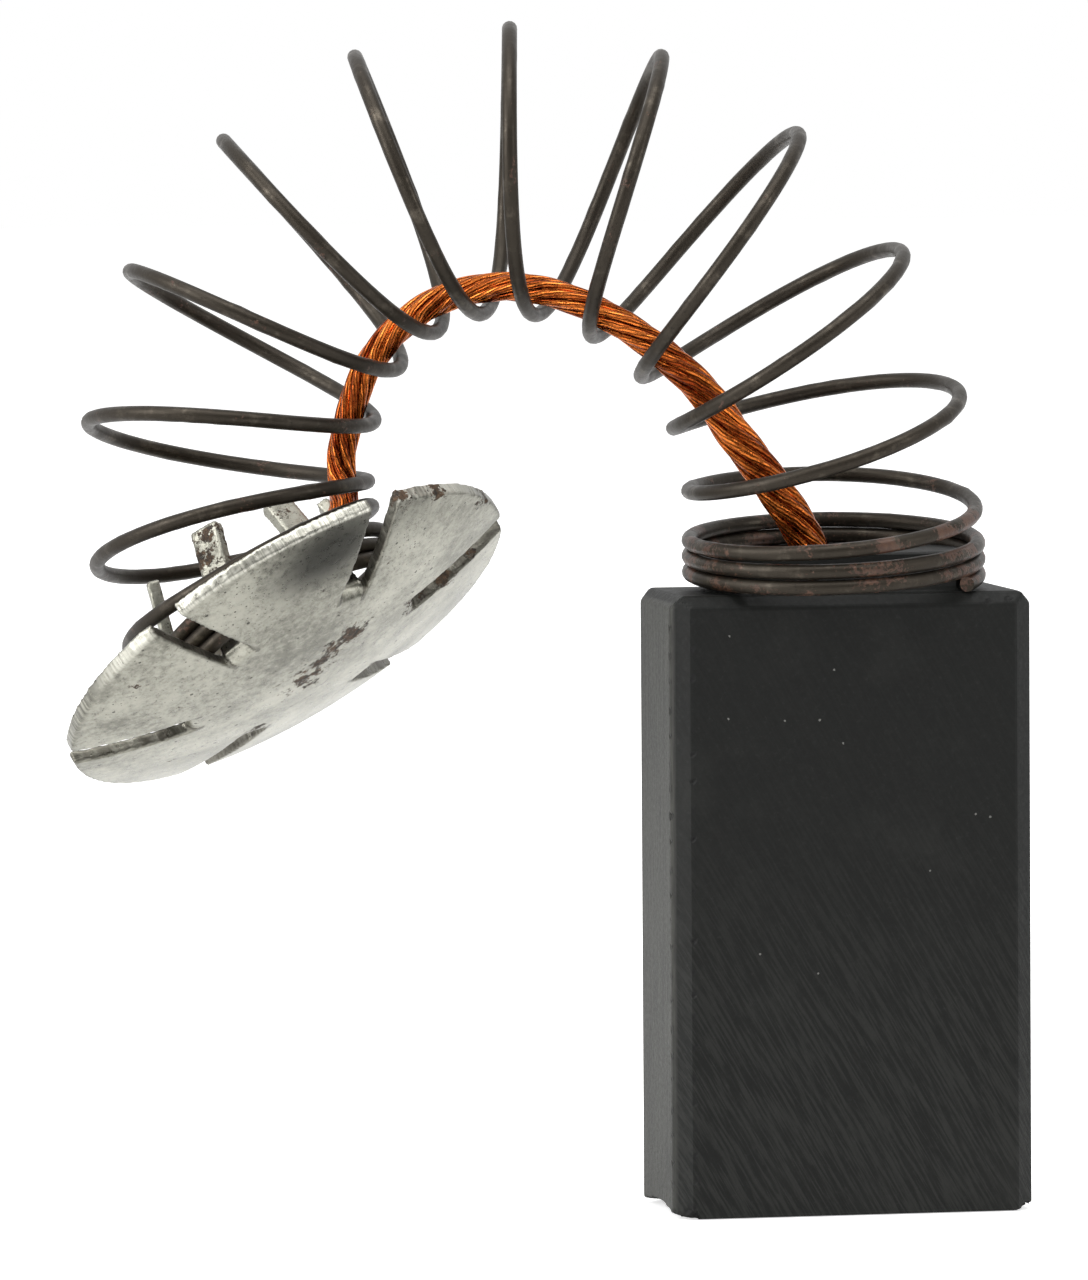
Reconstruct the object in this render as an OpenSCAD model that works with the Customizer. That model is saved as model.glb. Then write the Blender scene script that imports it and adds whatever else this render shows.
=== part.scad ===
// Carbon brush for a small commutator motor: a bevelled carbon block, a bent
// compression spring, a stranded copper shunt and a domed terminal cap.
// Millimetres. +Z runs from the contact face up the block's length,
// X across its broad faces, Y through its thickness.

/* [Carbon block] */
// Width across the broad faces
block_w = 12.5; // [11.5:0.1:16]
// Thickness between the broad faces
block_t = 6.3; // [5:0.1:8]
// Length from the contact edges to the shoulders
block_l = 21.15; // [12:0.05:30]
// Bevel along the four long edges
edge_bevel = 0.62; // [0.2:0.02:1]
// Bevel around the shoulders
shoulder_bevel = 0.4; // [0.1:0.05:0.8]
// Radius of the commutator that wore the contact face
commutator_r = 12.5; // [8:0.5:30]
// Height of the tenon that centres the spring
tenon_h = 1.35; // [0.8:0.05:2.5]

/* [Shunt hole] */
// Diameter of the hole that holds the shunt
hole_d = 2.8; // [2.4:0.05:3.6]
// Depth of the hole below the tenon's face
hole_depth = 6; // [4.5:0.1:8]
// Offset of the hole towards the arch of the spring
hole_shift = 0.3; // [0:0.05:1]

/* [Spring] */
// Diameter of the spring wire
wire_d = 0.52; // [0.4:0.01:0.6]
// Mean diameter of the open turns
coil_d = 9.65; // [8.8:0.05:10.5]
// Extra radius of the closed turns that sit on the block
end_swell = 0.09; // [0:0.01:0.2]
// Pitch of the fully open turns
open_pitch = 3.75; // [2.5:0.05:5]
// Air between neighbouring closed turns
turn_gap = 0.025; // [0.02:0.005:0.2]

/* [Shunt] */
// Diameter of the loose rope where it leaves the block
shunt_root_d = 1.3; // [1:0.05:1.5]
// Diameter of the rope along the spring
shunt_d = 1.02; // [0.8:0.02:1.2]
// Length of rope for one full twist of its strands
lay_length = 6.5; // [4:0.1:12]
// Depth of the rope's end inside the filling
shunt_depth = 4; // [3:0.1:4.4]
// Width of the rope's end where it is welded flat
weld_w = 1.5; // [1.2:0.05:1.8]

/* [Terminal cap] */
// Diameter of the cap
cap_d = 16.9; // [15:0.1:20]
// Height of the dome above its rim
cap_depth = 1.43; // [1:0.02:2]
// Thickness of the sheet
sheet = 0.45; // [0.3:0.05:0.6]
// Number of slots and tongues
slot_count = 6; // [3:1:8]
// Width of each slot
slot_w = 1.1; // [0.7:0.05:1.5]
// Length of each tongue along the axis of the spring
tongue_l = 4.7; // [3:0.1:5.5]

/* [Clearances] */
// Air between the tenon and the turns around it
tenon_clearance = 0.09; // [0.07:0.01:0.3]
// Air between the tongues and the turns around them
tongue_clearance = 0.07; // [0.05:0.01:0.3]
// Air between the last turn and the inside of the dome
seat_clearance = 0.02; // [0.01:0.01:0.1]
// Air between the shunt and whatever it passes or lies in
shunt_clearance = 0.04; // [0.02:0.01:0.15]

/* [Hidden] */
$fn = 64;
fine = 96;
over = 1;

turn_sides = 22;
wire_sides = 8;
strands = 7;
strand_groove = 0.13;
rope_step = 0.5;

// Turns of the spring: [turn, openness of the pitch, bend, sway]. Bend turns
// the axis in the XZ plane, sway leans it towards +Y, both in degrees.
guide = [
  [0, 0, 92, -5.5],
  [2.4, 0, 92, -5.5],
  [3.2, 0.65, 94.5, -5.5],
  [4.2, 0.94, 105, 0.5],
  [5.25, 1, 124, 8],
  [6.5, 1, 147.5, 14.5],
  [8, 0.95, 177, 20.5],
  [9.5, 0.93, 211, 19],
  [11, 1.02, 243, 10],
  [12.5, 0.97, 270.5, -3],
  [13.3, 0.5, 285, -10],
  [13.9, 0.28, 296, -11.5],
  [14.4, 0.62, 298, -26.5],
  [15, 0, 298, -26.5],
  [17, 0, 298, -26.5]
];
turns = guide[len(guide) - 1][0];
wire_start = -36;
// Turns over which the swollen end closes in to the open coil.
swell_out = [2.4, 3.6];

// Lie of the shunt inside the spring: [turn, share of the free radius, turn
// round the axis]. It keeps to the inside of the arch and then passes between
// two tongues to the middle of the cap.
lie = [
  [3, 0.33, 180],
  [3.8, 0.63, 180],
  [4.2, 0.76, 180],
  [5, 0.9, 180],
  [6.2, 1, 180],
  [7.4, 1, 180],
  [8.6, 1, 180],
  [9.8, 1, 180],
  [11, 1, 180],
  [12.2, 1, 181],
  [12.8, 1, 188],
  [13.3, 0.96, 198],
  [14.4, 0.78, 207],
  [15.6, 0.5, 210]
];

// Turns over which the loose rope draws in to its laid diameter.
draw_in = [3.4, 7.5];
// Share of the hole's spare width that the leaning rope takes up.
lean_share = 0.78;
// Share of the rope's section that is left once its end is pressed flat.
pressed = 0.8;
// Lengths of the flat end and of the run that leads into it.
flat_l = 1;
flat_run = 2;
// Last points of the rope, as shares of the radius of the slot roots.
landing = [0.15, -0.2];
// Dip of the rope's curve as it lands in the cap.
landing_dip = 0.1;

// Lean of each tongue: [inwards, sideways], in degrees, from the slot that
// lies on the outside of the arch.
tongue_lean = [[14, -9], [9, 3], [8, -3], [8, -12], [20, -7], [14, -10], [8, 2], [8, -2]];
slot_turn = -1;

wire_r = wire_d / 2;
closed_pitch = wire_d + turn_gap;
end_r = coil_d / 2 + end_swell;
tenon_d = 2 * (end_r * cos(180 / turn_sides) - wire_r - tenon_clearance);
tenon_z = block_l + tenon_h;
ridge_a = asin((block_t / 2 - shoulder_bevel) / end_r);
spring_z = block_l + wire_r
  + end_r * (cos(ridge_a) * cos(guide[0][2]) - sin(ridge_a) * sin(guide[0][3]));

function unit(v) = v / norm(v);
function between(x, a, b) = min(1, max(0, (x - a) / (b - a)));
function smooth(t) = t * t * (3 - 2 * t);

// Value in column c of a table at x: a smooth curve that never overshoots.
function rise(tab, c, i) = (tab[i + 1][c] - tab[i][c]) / (tab[i + 1][0] - tab[i][0]);
function slope(tab, c, i) =
  (i == 0 || i == len(tab) - 1) ? 0 :
  let (a = rise(tab, c, i - 1), b = rise(tab, c, i))
  let (p = tab[i][0] - tab[i - 1][0], q = tab[i + 1][0] - tab[i][0])
  a * b <= 0 ? 0 : 3 * (p + q) / ((2 * q + p) / a + (q + 2 * p) / b);
function place(tab, x, i = 0) =
  (i >= len(tab) - 2 || x < tab[i + 1][0]) ? i : place(tab, x, i + 1);
function curve(tab, c, x) =
  let (i = place(tab, x), h = tab[i + 1][0] - tab[i][0], t = (x - tab[i][0]) / h)
  (1 + 2 * t) * (1 - t) * (1 - t) * tab[i][c]
  + t * (1 - t) * (1 - t) * h * slope(tab, c, i)
  + t * t * (3 - 2 * t) * tab[i + 1][c]
  + t * t * (t - 1) * h * slope(tab, c, i + 1);

// The bent axis of the spring, one point for each side of each turn.
axis_n = [for (i = [0 : turns * turn_sides]) i / turn_sides];
axis_t = [for (n = axis_n)
  let (b = curve(guide, 2, n), s = curve(guide, 3, n))
  [cos(s) * cos(b), sin(s), cos(s) * sin(b)]];
axis_step = [for (i = [0 : len(axis_n) - 1])
  axis_t[i] * (closed_pitch + curve(guide, 1, axis_n[i]) * (open_pitch - closed_pitch)) / turn_sides];
axis_p = [for (i = 0, p = [0, 0, spring_z]; i < len(axis_n);
  p = p + (axis_step[i] + axis_step[min(i + 1, len(axis_n) - 1)]) / 2, i = i + 1) p];
axis_u = [for (t = axis_t) unit(cross([0, 1, 0], t))];
axis_v = [for (i = [0 : len(axis_n) - 1]) cross(axis_t[i], axis_u[i])];

function turn_r(n) = coil_d / 2 + end_swell * (1 - smooth(between(n, swell_out[0], swell_out[1])));
function around(i, r, a) = axis_p[i] + r * (cos(a) * axis_u[i] + sin(a) * axis_v[i]);
wire_p = [for (i = [0 : len(axis_n) - 1]) around(i, turn_r(axis_n[i]), wire_start + 360 * axis_n[i])];

// Seat of the cap: the last turn lies on the inside of the dome.
dome_r = (cap_d * cap_d / 4 + cap_depth * cap_depth) / (2 * cap_depth);
seat_r = dome_r - sheet - wire_r - seat_clearance;
rim_back = cap_depth - dome_r + sqrt(seat_r * seat_r - coil_d * coil_d / 4);
last = len(axis_n) - 1;
cap_o = axis_p[last] - rim_back * axis_t[last];
slot_root_r = coil_d / 2 * cos(180 / turn_sides) - wire_r - tongue_clearance - sheet;

// Tube through points p; ring(k) gives the section's points in the plane of
// the two directions u[k] and v[k].
function bare(v, t) = unit(v - (v * t) * t);
function tangents(p) = [for (k = [0 : len(p) - 1])
  unit(p[min(k + 1, len(p) - 1)] - p[max(k - 1, 0)])];
function carry(t, u0) = [for (k = 0, u = bare(u0, t[0]); k < len(t);
  k = k + 1, u = k < len(t) ? bare(u, t[k]) : u) u];
module skin(rings) {
  m = len(rings[0]);
  n = len(rings);
  polyhedron(
    points = [for (r = rings) for (q = r) q],
    faces = concat(
      [[for (j = [0 : m - 1]) j]],
      [for (k = [0 : n - 2]) for (j = [0 : m - 1]) for (h = [0, 1])
        let (a = k * m + j, b = k * m + (j + 1) % m)
        h == 0 ? [a, a + m, b + m] : [a, b + m, b]],
      [[for (j = [m - 1 : -1 : 0]) (n - 1) * m + j]]
    )
  );
}

// Route of the shunt: through the filling, along the inside of the arch and
// down between two tongues to the middle of the cap.
shunt_lean = asin((hole_d - shunt_root_d - 2 * shunt_clearance) / shunt_depth * lean_share);
function free_r(n) =
  coil_d / 2 * cos(180 / turn_sides) - wire_r - rope_d(n) / 2 - shunt_clearance;
function rope_d(n) =
  shunt_root_d + (shunt_d - shunt_root_d) * smooth(between(n, draw_in[0], draw_in[1]));
mouth = [-hole_shift - shunt_depth / 2 * sin(shunt_lean), 0, tenon_z];
down = [sin(shunt_lean), 0, -cos(shunt_lean)];
flat_t = shunt_d * shunt_d / weld_w * pressed;
weld_z = cap_depth - sheet - flat_t / 2 - shunt_clearance - landing_dip;
function in_cap(r, z, a) =
  cap_o + r * (cos(a) * axis_u[last] + sin(a) * axis_v[last]) + z * axis_t[last];
knots = concat(
  [mouth + shunt_depth * down, mouth + shunt_depth / 2 * down, mouth],
  [for (q = lie) around(round(q[0] * turn_sides), q[1] * free_r(q[0]), q[2])],
  [for (r = landing) in_cap(r * slot_root_r, weld_z, lie[len(lie) - 1][2])]
);
knot_n = concat([0, 0, 0], [for (q = lie) q[0]], [turns, turns]);
function spline(p, i, t) =
  let (a = p[max(i - 1, 0)], b = p[i], c = p[i + 1], d = p[min(i + 2, len(p) - 1)])
  0.5 * (2 * b + (c - a) * t + (2 * a - 5 * b + 4 * c - d) * t * t + (3 * b - a - 3 * c + d) * t * t * t);
knot_m = [for (i = [0 : len(knots) - 2])
  max(1, round(norm(knots[i + 1] - knots[i]) / rope_step))];
route = concat(
  [for (i = [0 : len(knots) - 2]) for (j = [0 : knot_m[i] - 1]) spline(knots, i, j / knot_m[i])],
  [knots[len(knots) - 1]]
);
route_n = concat(
  [for (i = [0 : len(knots) - 2]) for (j = [0 : knot_m[i] - 1])
    knot_n[i] + (knot_n[i + 1] - knot_n[i]) * j / knot_m[i]],
  [turns]
);
route_s = [for (k = 0, s = 0; k < len(route);
  k = k + 1, s = s + (k < len(route) ? norm(route[k] - route[k - 1]) : 0)) s];
route_t = tangents(route);
route_u = carry(route_t, [0, 1, 0]);

module section(bevel) {
  x = block_w / 2;
  y = block_t / 2;
  polygon([
    [x, y - bevel], [x - bevel, y], [bevel - x, y], [-x, y - bevel],
    [-x, bevel - y], [bevel - x, -y], [x - bevel, -y], [x, bevel - y]
  ]);
}

// Side profile of the block: worn to the commutator below, bevelled above.
module profile(w) {
  b = shoulder_bevel;
  polygon([
    [-w / 2, -over], [w / 2, -over], [w / 2, block_l - b],
    [w / 2 - b, block_l], [b - w / 2, block_l], [-w / 2, block_l - b]
  ]);
}

module shunt_hole() {
  translate([-hole_shift, 0, tenon_z - hole_depth])
    cylinder(d = hole_d, h = hole_depth + over);
}

module carbon_block() {
  sag = commutator_r - sqrt(commutator_r * commutator_r - block_t * block_t / 4);
  color("#2e2f2d")
  difference() {
    union() {
      intersection() {
        linear_extrude(height = block_l) section(edge_bevel);
        rotate([90, 0, 0])
          linear_extrude(height = block_t + over, center = true) profile(block_w);
        rotate([90, 0, 90])
          linear_extrude(height = block_w + over, center = true) profile(block_t);
      }
      intersection() {
        translate([0, 0, block_l - over]) cylinder(d = tenon_d, h = tenon_h + over, $fn = fine);
        linear_extrude(height = tenon_z)
          square([block_w - 2 * edge_bevel, block_t - 2 * edge_bevel], center = true);
      }
    }
    shunt_hole();
    translate([0, 0, sag - commutator_r])
      rotate([0, 90, 0]) cylinder(r = commutator_r, h = block_w + over, center = true, $fn = fine);
  }
}

module tamping_plug() {
  color("#3a3a38")
  difference() {
    translate([-hole_shift, 0, tenon_z - hole_depth]) cylinder(d = hole_d, h = hole_depth);
    translate(mouth + (shunt_depth + shunt_clearance) * down)
      rotate([0, -shunt_lean, 0])
      cylinder(d = shunt_root_d + 2 * shunt_clearance, h = shunt_depth + 2 * over);
  }
}

module spring() {
  t = tangents(wire_p);
  color("#4a4039")
  skin([for (k = [0 : len(wire_p) - 1])
    let (u = bare(wire_p[k] - axis_p[k], t[k]), v = cross(t[k], u))
    [for (j = [0 : wire_sides - 1])
      let (a = 360 * j / wire_sides)
      wire_p[k] + wire_r * (cos(a) * u + sin(a) * v)]]);
}

module shunt_lead() {
  m = 2 * strands;
  n = len(route);
  color("#a5552a")
  skin([for (k = [0 : n - 1])
    let (t = route_t[k], u = route_u[k], v = cross(t, u))
    let (s = route_s[k], left = route_s[n - 1] - s)
    let (flat = 1 - smooth(between(left, flat_l, flat_l + flat_run)))
    let (d = rope_d(route_n[k]))
    let (w = d + (weld_w - d) * flat, h = d + (flat_t - d) * flat)
    let (lift = bare(axis_t[last] - (axis_t[last] * t) * t, t))
    let (side = cross(t, lift))
    [for (j = [0 : m - 1])
      let (a = 360 * j / m, r = 1 - strand_groove * (j % 2) * (1 - flat))
      let (b = a - 360 * s / lay_length)
      let (round_q = d / 2 * r * (cos(b) * u + sin(b) * v))
      let (c = a - 360 * s / lay_length + atan2(u * side, u * lift))
      route[k] + (flat == 0 ? round_q : w / 2 * r * sin(c) * side + h / 2 * r * cos(c) * lift)]]);
}

module slots() {
  for (i = [0 : slot_count - 1])
    rotate([0, 0, slot_turn + 360 * i / slot_count])
      translate([slot_root_r, -slot_w / 2, -over])
      cube([cap_d, slot_w, cap_depth + 2 * over]);
}

module tongue(lean, sway) {
  inner = dome_r - sheet;
  z = cap_depth - dome_r + sqrt(inner * inner - slot_root_r * slot_root_r);
  translate([slot_root_r, 0, z]) {
    rotate([90, 0, 0]) cylinder(r = sheet, h = slot_w, center = true);
    rotate([sway, lean, 0])
      translate([0, -slot_w / 2, -tongue_l]) cube([sheet, slot_w, tongue_l]);
  }
}

module terminal_cap() {
  u = axis_u[last];
  v = axis_v[last];
  t = axis_t[last];
  color("#b9b8b0")
  multmatrix([
    [u[0], v[0], t[0], cap_o[0]],
    [u[1], v[1], t[1], cap_o[1]],
    [u[2], v[2], t[2], cap_o[2]],
    [0, 0, 0, 1]
  ])
  union() {
    difference() {
      intersection() {
        translate([0, 0, cap_depth - dome_r]) sphere(r = dome_r, $fn = fine);
        translate([0, 0, -sheet]) cylinder(d = cap_d, h = cap_depth + over, $fn = fine);
      }
      translate([0, 0, cap_depth - dome_r]) sphere(r = dome_r - sheet, $fn = fine);
      slots();
    }
    for (i = [0 : slot_count - 1])
      rotate([0, 0, slot_turn + 360 * i / slot_count])
        tongue(tongue_lean[i][0], tongue_lean[i][1]);
  }
}

carbon_block();
tamping_plug();
shunt_lead();
spring();
terminal_cap();
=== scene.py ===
import math

import bpy
from mathutils import Matrix, Vector, noise


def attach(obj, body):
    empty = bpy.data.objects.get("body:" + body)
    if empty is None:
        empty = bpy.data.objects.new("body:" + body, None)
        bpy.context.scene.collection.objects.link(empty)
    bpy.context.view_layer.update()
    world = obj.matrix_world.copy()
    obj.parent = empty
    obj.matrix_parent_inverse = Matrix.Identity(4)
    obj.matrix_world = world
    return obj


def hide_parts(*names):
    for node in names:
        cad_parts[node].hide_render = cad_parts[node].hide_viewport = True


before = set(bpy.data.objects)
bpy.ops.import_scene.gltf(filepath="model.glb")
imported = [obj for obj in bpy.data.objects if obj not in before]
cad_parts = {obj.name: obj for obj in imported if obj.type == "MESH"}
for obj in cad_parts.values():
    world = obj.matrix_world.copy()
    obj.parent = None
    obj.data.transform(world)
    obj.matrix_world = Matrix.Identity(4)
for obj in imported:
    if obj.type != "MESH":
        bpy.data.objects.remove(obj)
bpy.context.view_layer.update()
scene = bpy.context.scene
mm = 0.001
noise.seed_set(7)  # vector noise starts from the clock without it


camera = {
    "azimuth": -10.64,  # degrees round the object from straight in front
    "elevation": 3.58,
    "roll": -0.37,
    "distance": 350 * mm,
    "target": (-10.08 * mm, 0.0, 19.58 * mm),
    "lens": 290.1,
    "sensor": 36.0,
    "clip": (0.01, 20.0),
}


def makeCamera(c):
    data = bpy.data.cameras.new("viewCamera")
    obj = bpy.data.objects.new("viewCamera", data)
    scene.collection.objects.link(obj)
    az, el, roll = (math.radians(c[k]) for k in ("azimuth", "elevation", "roll"))
    back = Vector((math.sin(az) * math.cos(el), -math.cos(az) * math.cos(el), math.sin(el)))
    side = Vector((math.cos(az), math.sin(az), 0))
    up = back.cross(side)
    right = math.cos(roll) * side + math.sin(roll) * up
    top = math.cos(roll) * up - math.sin(roll) * side
    turn = Matrix((right, top, back)).transposed().to_4x4()
    obj.matrix_world = Matrix.Translation(Vector(c["target"]) + back * c["distance"]) @ turn
    data.lens = c["lens"]
    data.sensor_width = c["sensor"]
    data.clip_start, data.clip_end = c["clip"]
    scene.camera = obj


makeCamera(camera)
print("camera set")


def newMaterial(name):
    mat = bpy.data.materials.new(name)
    mat.use_nodes = True
    return mat, mat.node_tree, mat.node_tree.nodes["Principled BSDF"]


def addNode(tree, kind, inputs=None, **props):
    node = tree.nodes.new(kind)
    for key, value in props.items():
        setattr(node, key, value)
    for key, value in (inputs or {}).items():
        socket = node.inputs[key]
        if isinstance(value, bpy.types.NodeSocket):
            tree.links.new(value, socket)
        else:
            socket.default_value = value
    return node


def maths(tree, operation, a, b=0.0):
    return addNode(tree, "ShaderNodeMath", {0: a, 1: b}, operation=operation).outputs[0]


def ramp(tree, value, low, high, toLow=0.0, toHigh=1.0):
    return addNode(
        tree, "ShaderNodeMapRange",
        {"Value": value, "From Min": low, "From Max": high, "To Min": toLow, "To Max": toHigh},
        interpolation_type="SMOOTHSTEP").outputs["Result"]


def mixColour(tree, factor, a, b):
    node = addNode(tree, "ShaderNodeMix", data_type="RGBA")
    for key, value in ((0, factor), (6, a), (7, b)):
        if isinstance(value, bpy.types.NodeSocket):
            tree.links.new(value, node.inputs[key])
        else:
            node.inputs[key].default_value = value if key == 0 else (*value[:3], 1)
    return node.outputs[2]


def mixValue(tree, factor, a, b):
    return addNode(tree, "ShaderNodeMix", {0: factor, 2: a, 3: b}, data_type="FLOAT").outputs[0]


def objectPlace(tree):
    return addNode(tree, "ShaderNodeTexCoord").outputs["Object"]


def mapped(tree, vector, scale=(1, 1, 1), rotation=(0, 0, 0)):
    return addNode(tree, "ShaderNodeMapping", {
        "Vector": vector, "Scale": scale,
        "Rotation": [math.radians(a) for a in rotation]}).outputs["Vector"]


def noiseAt(tree, vector, scale, detail=4.0, rough=0.55):
    return addNode(tree, "ShaderNodeTexNoise", {
        "Vector": vector, "Scale": scale, "Detail": detail, "Roughness": rough}).outputs["Fac"]


def newGroup(name, inputs, outputs):
    group = bpy.data.node_groups.new(name, "ShaderNodeTree")
    for key, kind, value in inputs:
        socket = group.interface.new_socket(key, in_out="INPUT", socket_type=kind)
        if value is not None:
            socket.default_value = value
    for key, kind in outputs:
        group.interface.new_socket(key, in_out="OUTPUT", socket_type=kind)
    return group, group.nodes.new("NodeGroupInput"), group.nodes.new("NodeGroupOutput")


def placeGroup(tree, group, **values):
    node = addNode(tree, "ShaderNodeGroup")
    node.node_tree = group
    for key, value in values.items():
        socket = node.inputs[key]
        if isinstance(value, bpy.types.NodeSocket):
            tree.links.new(value, socket)
        else:
            socket.default_value = value
    return node


def makeRustGroup():
    # patches of rust with a ragged border, where the guide and the noise add up
    group, gin, gout = newGroup("rustPatches", [
        ("Place", "NodeSocketVector", None), ("Size", "NodeSocketFloat", 900.0),
        ("Amount", "NodeSocketFloat", 0.5), ("Guide", "NodeSocketFloat", 0.0)], [
        ("Mask", "NodeSocketFloat"), ("Colour", "NodeSocketColor"), ("Height", "NodeSocketFloat")])
    place = gin.outputs["Place"]
    broad = addNode(group, "ShaderNodeTexNoise", {
        "Vector": place, "Scale": gin.outputs["Size"], "Detail": 6.0, "Roughness": 0.7}).outputs["Fac"]
    fine = noiseAt(group, place, 8000.0, 3.0, 0.7)
    spread = maths(group, "MULTIPLY", maths(group, "SUBTRACT", broad, 0.5), 3.2)
    crumbs = maths(group, "MULTIPLY", maths(group, "SUBTRACT", fine, 0.5), 1.3)
    level = maths(group, "ADD", maths(group, "ADD", spread, crumbs), gin.outputs["Guide"])
    edge = maths(group, "SUBTRACT", 1.0, gin.outputs["Amount"])
    mask = ramp(group, maths(group, "SUBTRACT", level, edge), 0.0, 0.18)
    tone = noiseAt(group, place, 4200.0, 4.0, 0.7)
    colour = mixColour(group, ramp(group, tone, 0.35, 0.75), (0.016, 0.011, 0.007), (0.12, 0.068, 0.034))
    height = maths(group, "MULTIPLY", mask, fine)
    for key, value in (("Mask", mask), ("Colour", colour), ("Height", height)):
        group.links.new(value, gout.inputs[key])
    return group


def makeSpeckGroup():
    # small scattered specks of dirt
    group, gin, gout = newGroup("fineSpecks", [
        ("Place", "NodeSocketVector", None), ("Density", "NodeSocketFloat", 3000.0),
        ("Radius", "NodeSocketFloat", 0.22), ("Share", "NodeSocketFloat", 0.4)], [
        ("Mask", "NodeSocketFloat")])
    cells = addNode(group, "ShaderNodeTexVoronoi", {
        "Vector": gin.outputs["Place"], "Scale": gin.outputs["Density"], "Randomness": 1.0})
    pick = addNode(group, "ShaderNodeSeparateColor", {"Color": cells.outputs["Color"]}).outputs[0]
    chosen = maths(group, "LESS_THAN", pick, gin.outputs["Share"])
    wide = maths(group, "MULTIPLY", gin.outputs["Radius"], maths(group, "ADD", pick, 0.5))
    near = maths(group, "LESS_THAN", cells.outputs["Distance"], wide)
    group.links.new(maths(group, "MULTIPLY", chosen, near), gout.inputs["Mask"])
    return group


rustPatches = makeRustGroup()
fineSpecks = makeSpeckGroup()
print("shared effects made")


springShape = {
    "blockTop": 21.15,
    "wire": 0.52,
    "coil": 9.65,
    "swell": 0.09,
    "swellOut": (2.4, 1.2),  # turn where the swell starts to end, turns that it takes
    "openPitch": 3.75,
    "turnGap": 0.025,
    "wireStart": -36.0,
    "ridge": 2.75,
    "perTurn": 72,
    "wireSides": 14,
    "guide": [  # turn, openness of the pitch, bend, sway
        (0, 0, 92, -5.5), (2.4, 0, 92, -5.5), (3.2, 0.65, 94.5, -5.5), (4.2, 0.94, 105, 0.5),
        (5.25, 1, 124, 8), (6.5, 1, 147.5, 14.5), (8, 0.95, 177, 20.5), (9.5, 0.93, 211, 19),
        (11, 1.02, 243, 10), (12.5, 0.97, 270.5, -3), (13.3, 0.5, 285, -10),
        (13.9, 0.28, 296, -11.5), (14.4, 0.62, 298, -26.5), (15, 0, 298, -26.5), (17, 0, 298, -26.5)],
}


def tableCurve(rows, column, x):
    n = [r[0] for r in rows]
    v = [r[column] for r in rows]
    rise = [(v[i + 1] - v[i]) / (n[i + 1] - n[i]) for i in range(len(n) - 1)]
    slope = [0.0] * len(n)
    for i in range(1, len(n) - 1):
        a, b = rise[i - 1], rise[i]
        p, q = n[i] - n[i - 1], n[i + 1] - n[i]
        if a * b > 0:
            slope[i] = 3 * (p + q) / ((2 * q + p) / a + (q + 2 * p) / b)
    i = max(k for k in range(len(n) - 1) if n[k] <= x)
    h = n[i + 1] - n[i]
    t = (x - n[i]) / h
    return ((1 + 2 * t) * (1 - t) ** 2 * v[i] + t * (1 - t) ** 2 * h * slope[i]
            + t * t * (3 - 2 * t) * v[i + 1] + t * t * (t - 1) * h * slope[i + 1])


def smoothStep(t):
    t = min(1.0, max(0.0, t))
    return t * t * (3 - 2 * t)


def springAxis(s):
    closed = s["wire"] + s["turnGap"]
    turns = s["guide"][-1][0]
    count = int(turns * s["perTurn"])
    endR = s["coil"] / 2 + s["swell"]
    ridge = math.asin(s["ridge"] / endR)
    bend, sway = math.radians(s["guide"][0][2]), math.radians(s["guide"][0][3])
    start = s["blockTop"] + s["wire"] / 2 + endR * (
        math.cos(ridge) * math.cos(bend) - math.sin(ridge) * math.sin(sway))
    turn, point, ahead, out, side = [], [], [], [], []
    place, lastStep = Vector((0, 0, start)), None
    for i in range(count + 1):
        n = i / s["perTurn"]
        b = math.radians(tableCurve(s["guide"], 2, n))
        w = math.radians(tableCurve(s["guide"], 3, n))
        t = Vector((math.cos(w) * math.cos(b), math.sin(w), math.cos(w) * math.sin(b)))
        step = t * (closed + tableCurve(s["guide"], 1, n) * (s["openPitch"] - closed)) / s["perTurn"]
        if lastStep is not None:
            place = place + (lastStep + step) / 2
        lastStep = step
        u = Vector((0, 1, 0)).cross(t).normalized()
        turn.append(n)
        point.append(place.copy())
        ahead.append(t)
        out.append(u)
        side.append(t.cross(u))
    return {"turn": turn, "point": point, "ahead": ahead, "out": out, "side": side}


axis = springAxis(springShape)


def aroundAxis(n, radius, angle):
    i = round(n * springShape["perTurn"])
    a = math.radians(angle)
    return axis["point"][i] + radius * (math.cos(a) * axis["out"][i] + math.sin(a) * axis["side"][i])


def treeBase(name, inputs):
    tree = bpy.data.node_groups.new(name, "GeometryNodeTree")
    tree.interface.new_socket("Geometry", in_out="INPUT", socket_type="NodeSocketGeometry")
    for key, kind, value in inputs:
        socket = tree.interface.new_socket(key, in_out="INPUT", socket_type=kind)
        if value is not None:
            socket.default_value = value
    tree.interface.new_socket("Geometry", in_out="OUTPUT", socket_type="NodeSocketGeometry")
    return tree, tree.nodes.new("NodeGroupInput"), tree.nodes.new("NodeGroupOutput")


def wireTree():
    # a round wire swept along the guide line
    tree, gin, gout = treeBase("wireAlongCoil", [
        ("Wire radius", "NodeSocketFloat", 0.0003), ("Sides", "NodeSocketInt", 12),
        ("Finish", "NodeSocketMaterial", None)])
    line = addNode(tree, "GeometryNodeMeshToCurve", {"Mesh": gin.outputs["Geometry"]}).outputs[0]
    ring = addNode(tree, "GeometryNodeCurvePrimitiveCircle", {
        "Resolution": gin.outputs["Sides"], "Radius": gin.outputs["Wire radius"]}).outputs[0]
    tube = addNode(tree, "GeometryNodeCurveToMesh", {
        "Curve": line, "Profile Curve": ring, "Fill Caps": True}).outputs[0]
    real = addNode(tree, "GeometryNodeRealizeInstances", {"Geometry": tube}).outputs[0]
    done = addNode(tree, "GeometryNodeSetMaterial", {
        "Geometry": real, "Material": gin.outputs["Finish"]}).outputs[0]
    tree.links.new(done, gout.inputs[0])
    return tree


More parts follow.
